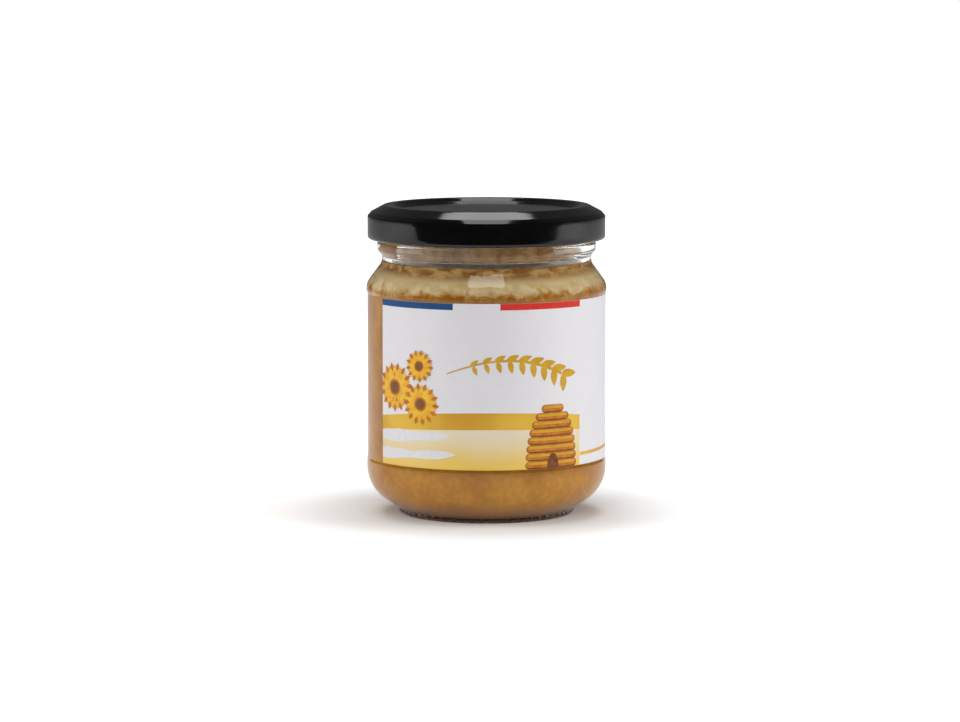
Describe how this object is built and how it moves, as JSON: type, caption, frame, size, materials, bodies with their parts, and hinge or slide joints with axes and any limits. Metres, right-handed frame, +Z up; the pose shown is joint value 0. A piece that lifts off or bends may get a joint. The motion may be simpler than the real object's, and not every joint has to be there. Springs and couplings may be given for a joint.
{
  "type": "honey jar",
  "caption": "Clear glass jar of set honey with a black twist-off lid and a printed paper label wrapped round its wall.",
  "frame": {"origin": "centre of the plane that the jar stands on", "axes": "+Z up through the lid; the middle of the label's front panel faces -Y"},
  "size_m": [0.067, 0.067, 0.0861],
  "materials": {
    "glass": "polished",
    "lid_lacquer": "gloss",
    "honey": "satin",
    "label_paper": "satin"
  },
  "bodies": {
    "root": {"glass_jar": "glass", "lid": "lid_lacquer", "honey": "honey", "label": "label_paper"}
  },
  "joints": []
}
